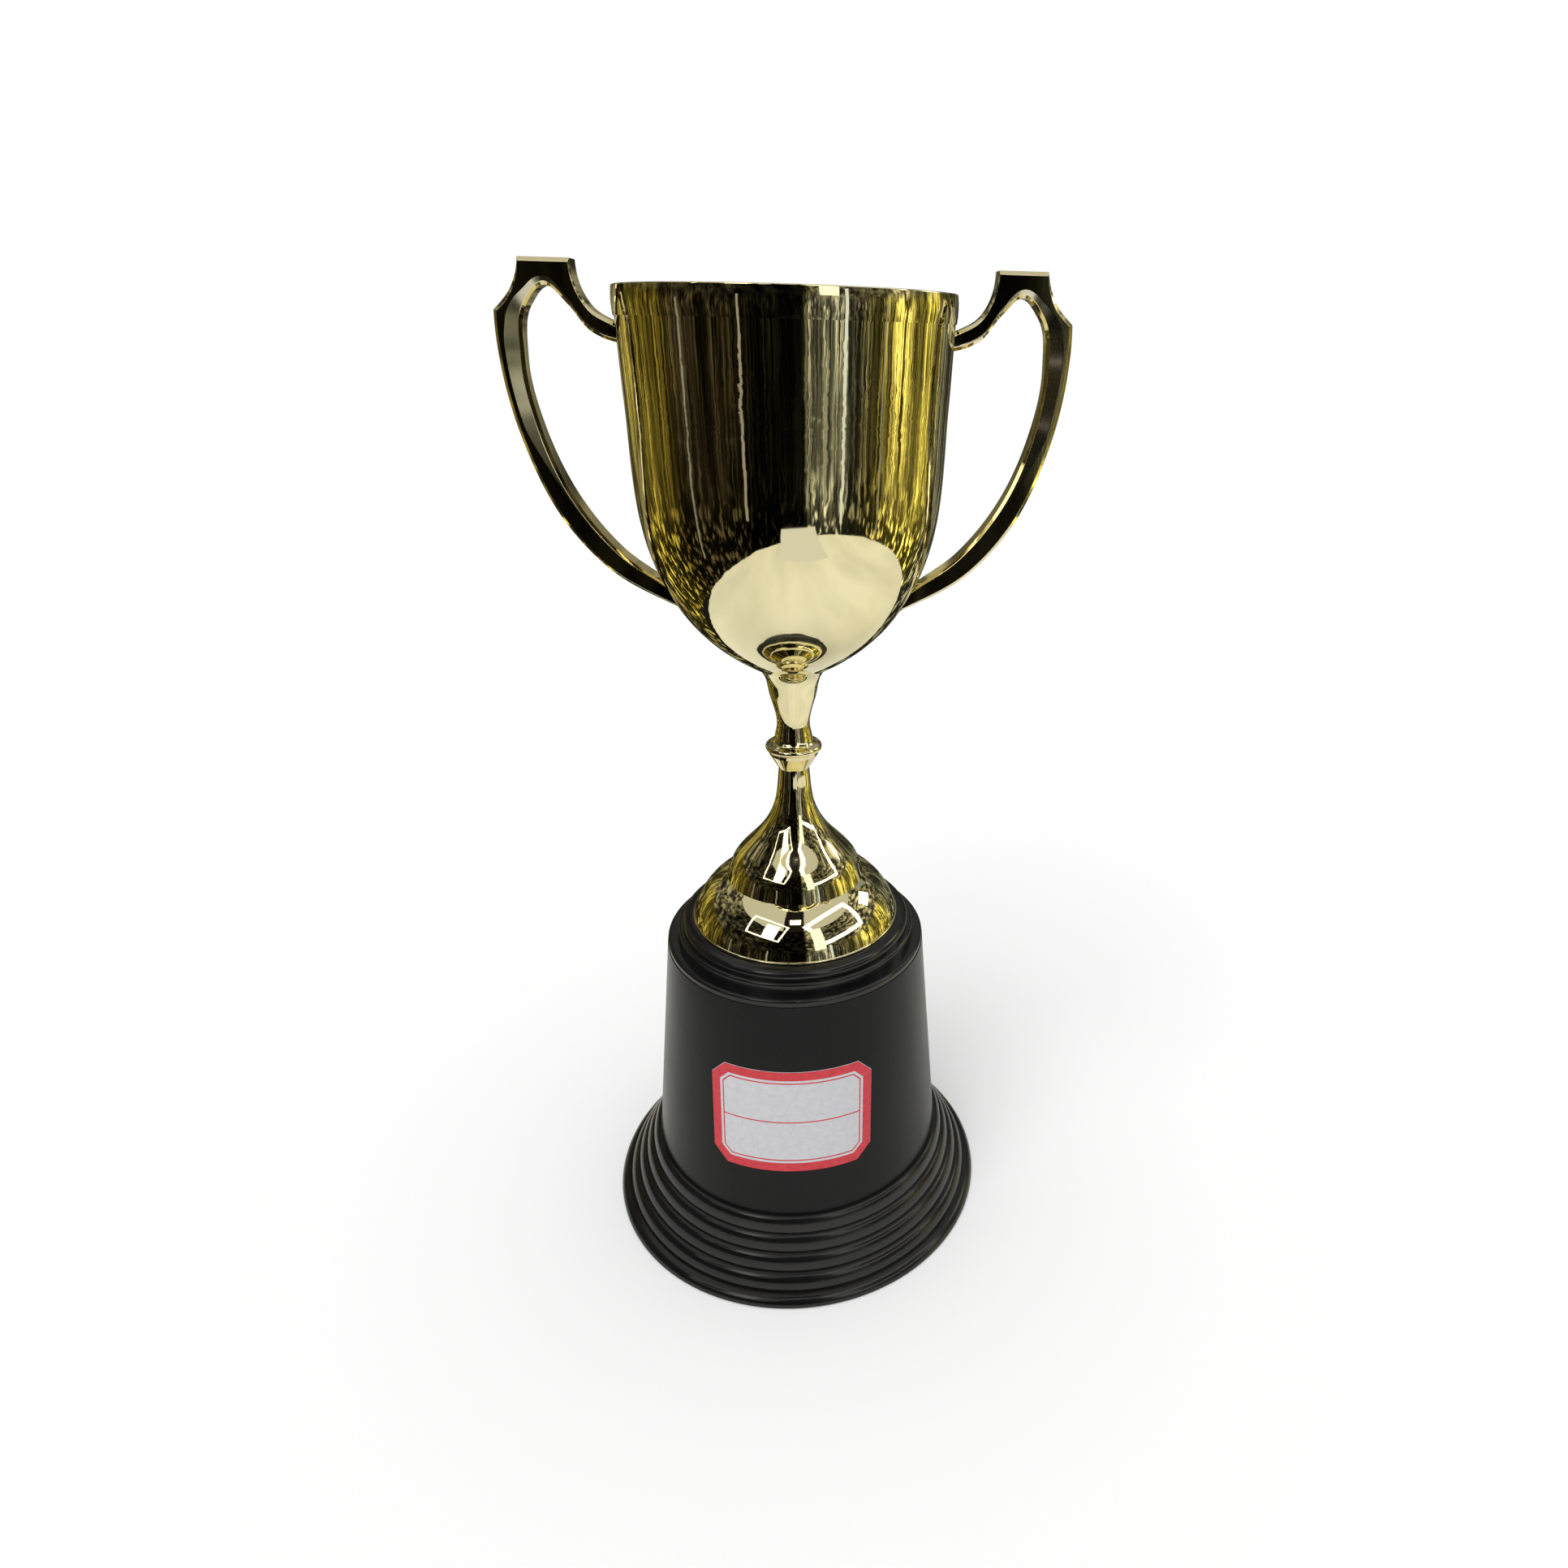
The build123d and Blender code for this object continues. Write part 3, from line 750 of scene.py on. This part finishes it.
def wall_material():
    """A dark room with lit shelves of bright things: gold at both sides, paler towards the right front."""
    t = Tree("room_wall")
    split = t.add("ShaderNodeSeparateXYZ")
    t.put(split, Vector=t.add("ShaderNodeTexCoord").outputs["Object"])
    x, y, z = split.outputs
    angle = t.math("ARCTAN2", x, t.math("MULTIPLY", y, -1.0))     # 0 straight in front, + to the right
    share = t.math("MULTIPLY_ADD", angle, 0.5 / math.pi, 0.5)     # 0 .. 1 round the room, for the ramps

    def cells(across, up, seed, detail, roughness):
        """Noise round the wall: cells across a radian and up a metre."""
        where = t.add("ShaderNodeCombineXYZ")
        t.put(where, X=t.math("MULTIPLY", angle, across), Y=t.math("MULTIPLY", z, up), Z=seed)
        return t.noise(where.outputs[0], 1.0, detail=detail, roughness=roughness)

    broad = t.span(cells(6.0, 0.8, 0.0, 2.0, 0.6), 0.40, 0.64, 0.12, 1.0)
    lines = t.span(cells(30.0, 1.1, 3.7, 3.0, 0.7), 0.44, 0.62)
    hairs = t.span(cells(90.0, 2.4, 5.1, 2.0, 0.6), 0.52, 0.66, 0.0, 2.2)
    streaks = t.math("MULTIPLY", broad, t.math("ADD", lines, hairs))
    spots = t.math("MULTIPLY", t.span(cells(22.0, 6.0, 9.1, 2.0, 0.6), 0.52, 0.68), 2.2)
    mottle = t.math("MULTIPLY", t.span(cells(8.0, 6.0, 2.2, 5.0, 0.7), 0.44, 0.66), 1.1)
    low = t.span(z, -0.42, 0.10)
    high = t.span(z, 0.40, 0.60)
    lower = t.math("MULTIPLY", spots, t.math("SUBTRACT", 1.0, low))
    middle = t.math("MULTIPLY", streaks, t.math("MULTIPLY", low, t.math("SUBTRACT", 1.0, high)))
    upper = t.math("MULTIPLY", mottle, high)
    pattern = t.math("ADD", t.math("ADD", lower, middle), upper)
    base = t.ramp(share, [
        (0.0, 0.16), (0.083, 0.16), (0.139, 0.26), (0.194, 0.27), (0.236, 0.13), (0.27, 0.045),
        (0.405, 0.035), (0.422, 0.006), (0.537, 0.006), (0.545, 0.32), (0.60, 0.34), (0.63, 0.10),
        (0.68, 0.18), (0.72, 0.52), (0.83, 0.60), (0.87, 0.24), (1.0, 0.16),
    ])
    sand = (0.80, 0.74, 0.50)
    tone = t.ramp(share, [
        (0.0, sand), (0.15, (1.0, 0.82, 0.16)), (0.26, (0.90, 0.70, 0.14)), (0.30, (0.8, 0.62, 0.40)),
        (0.42, (0.7, 0.6, 0.3)), (0.54, (0.80, 0.80, 0.62)), (0.62, (0.80, 0.80, 0.68)),
        (0.68, (1.0, 0.85, 0.25)), (0.83, (1.0, 0.86, 0.18)), (0.88, (0.8, 0.8, 0.6)), (1.0, sand),
    ])
    strength = t.math("MULTIPLY", t.math("ADD", pattern, 0.04), t.math("MULTIPLY", base, 2.1))
    overhead = t.add("ShaderNodeMix", data_type="RGBA")
    for place, value in ((0, high), (6, tone), (7, colour(sand))):     # its share and its two colours
        t.feed(overhead.inputs[place], value)
    t.glow(overhead.outputs[2], strength)
    return t.material


def glow_material(name, shade, strength):
    t = Tree(name)
    t.glow(colour(shade), strength)
    return t.material


def facing(azimuth, elevation, distance):
    """Place at a direction from the trophy's middle, in degrees, turned so that a panel there faces it."""
    a, e = math.radians(azimuth), math.radians(elevation)
    ray = Vector((math.sin(a) * math.cos(e), -math.cos(a) * math.cos(e), math.sin(e)))
    place = Vector((0, 0, 0.15)) + ray * distance
    return Matrix.Translation(place) @ ray.to_track_quat("Z", "Y").to_matrix().to_4x4()


def rectangle(bm, width, height):
    w, h = width / 2, height / 2
    return [bm.verts.new(corner) for corner in ((-w, -h, 0), (w, -h, 0), (w, h, 0), (-w, h, 0))]


def card(name, azimuth, elevation, width, height, material, distance=1.4, frame_width=0.0):
    """A flat glowing card, or a frame of one, that only reflections see."""
    def build(bm):
        outer = rectangle(bm, width, height)
        if not frame_width:
            bm.faces.new(outer)
            return
        inner = rectangle(bm, width - 2 * frame_width, height - 2 * frame_width)
        for i in range(4):
            n = (i + 1) % 4
            bm.faces.new((outer[i], outer[n], inner[n], inner[i]))
    obj = stage_mesh(name, build, material)
    obj.matrix_world = facing(azimuth, elevation, distance)


def table_material(name):
    """Pale table top: a little cloudy, with soft streaks from wiping."""
    t = Tree(name)
    cloud = t.noise(t.coords(scale=(7, 2.5, 1)), 1, detail=3)
    shade = t.ramp(cloud, [(0.3, (0.66, 0.66, 0.60)), (0.65, (0.86, 0.85, 0.79))])
    t.shader(Base_Color=shade, Roughness=0.5)
    return t.material


# what stands under the trophy: a pale floor in the picture, a round table with a paper in the reflections
stage_mesh(
    "floor", disc(FLOOR_RADIUS, z=-0.0004), plain_material("floor_white", 0.96),
    seen=("camera", "diffuse", "transmission", "shadow"),
)
stage_mesh("table_top", disc(TABLE_RADIUS, z=-0.0002, centre=TABLE_CENTRE), table_material("table_cream"))
PAPER = ((-0.04, -0.61), (0.22, -0.60), (0.21, -0.33), (-0.03, -0.36))
stage_mesh("table_paper", flat_sheet(PAPER, 0.0), plain_material("paper_grey", (0.70, 0.70, 0.71)))

# the room round the table
room_dark = glow_material("room_dark", (0.9, 0.85, 0.75), 0.012)
room_pale = glow_material("room_ceiling", (0.95, 0.93, 0.84), 0.62)
stage_mesh("room_wall", room_wall, wall_material())
stage_mesh("room_floor", disc(ROOM_RADIUS, z=ROOM_LOW), room_dark)
stage_mesh("room_ceiling", disc(ROOM_RADIUS, z=ROOM_HIGH), room_pale)
DARK_PATCH = ((-0.45, -1.6), (0.40, -1.6), (0.20, -0.25), (-0.20, -0.25))
stage_mesh("ceiling_dark", flat_sheet(DARK_PATCH, ROOM_HIGH - 0.02), room_dark)

# lamps, windows and posts: azimuth and elevation in degrees, then width and height
lamp_white = glow_material("lamp_white", (1.0, 0.98, 0.94), 2.4)
lamp_grey = glow_material("lamp_grey", (0.85, 0.86, 0.80), 0.34)
card("ceiling_panel", -40, 44, 1.00, 0.70, lamp_white, frame_width=0.05)
card("ceiling_glow", -33, 42, 0.34, 0.52, lamp_white, distance=1.38)
card("ceiling_frame", 60, 42, 1.45, 1.10, lamp_white, frame_width=0.15)
card("ceiling_back", 165, 40, 1.3, 0.7, lamp_grey)
card("arm_strip", -28, -2, 0.045, 0.70, glow_material("arm_grey", (0.34, 0.31, 0.30), 1.0))
card("window_strip", 40, 0, 0.055, 0.85, glow_material("window_cool", (0.86, 0.93, 1.0), 0.9))
card("window_side", 29, 30, 0.30, 0.85, glow_material("window_soft", (0.95, 0.97, 0.92), 1.3))
card("post_left", -70, -10, 0.034, 0.9, lamp_grey)
card("post_right", 69, -10, 0.026, 0.9, lamp_grey)
card("lamp_front", 2, 62, 0.24, 0.20, lamp_white)
card("lamp_right", 118, 30, 0.40, 0.30, lamp_white)


def soft_sun(power, softness, azimuth, elevation):
    """Soft light that mirrors don't show."""
    data = bpy.data.lights.new("key", "SUN")
    data.energy = power
    data.angle = math.radians(softness)
    sun = bpy.data.objects.new("key", data)
    scene.collection.objects.link(sun)
    sun.matrix_world = facing(azimuth, elevation, 2.0)
    sun.visible_glossy = False


def studio_world(light, backdrop):
    """Even white light from all round, behind which the camera sees its own white."""
    world = bpy.data.worlds.new("studio")
    scene.world = world
    world.use_nodes = True
    world.cycles_visibility.glossy = False
    tree = world.node_tree
    tree.nodes.clear()
    choice = tree.nodes.new("ShaderNodeMixShader")
    for socket, strength in ((choice.inputs[1], light), (choice.inputs[2], backdrop)):
        sky = tree.nodes.new("ShaderNodeBackground")
        sky.inputs["Color"].default_value = colour(1)
        sky.inputs["Strength"].default_value = strength
        tree.links.new(sky.outputs[0], socket)
    tree.links.new(tree.nodes.new("ShaderNodeLightPath").outputs["Is Camera Ray"], choice.inputs["Fac"])
    tree.links.new(choice.outputs[0], tree.nodes.new("ShaderNodeOutputWorld").inputs["Surface"])


soft_sun(power=0.9, softness=35, azimuth=-35, elevation=55)
studio_world(light=0.84, backdrop=1.0)


# ---------------------------------------------------------------- finish
bpy.context.view_layer.update()
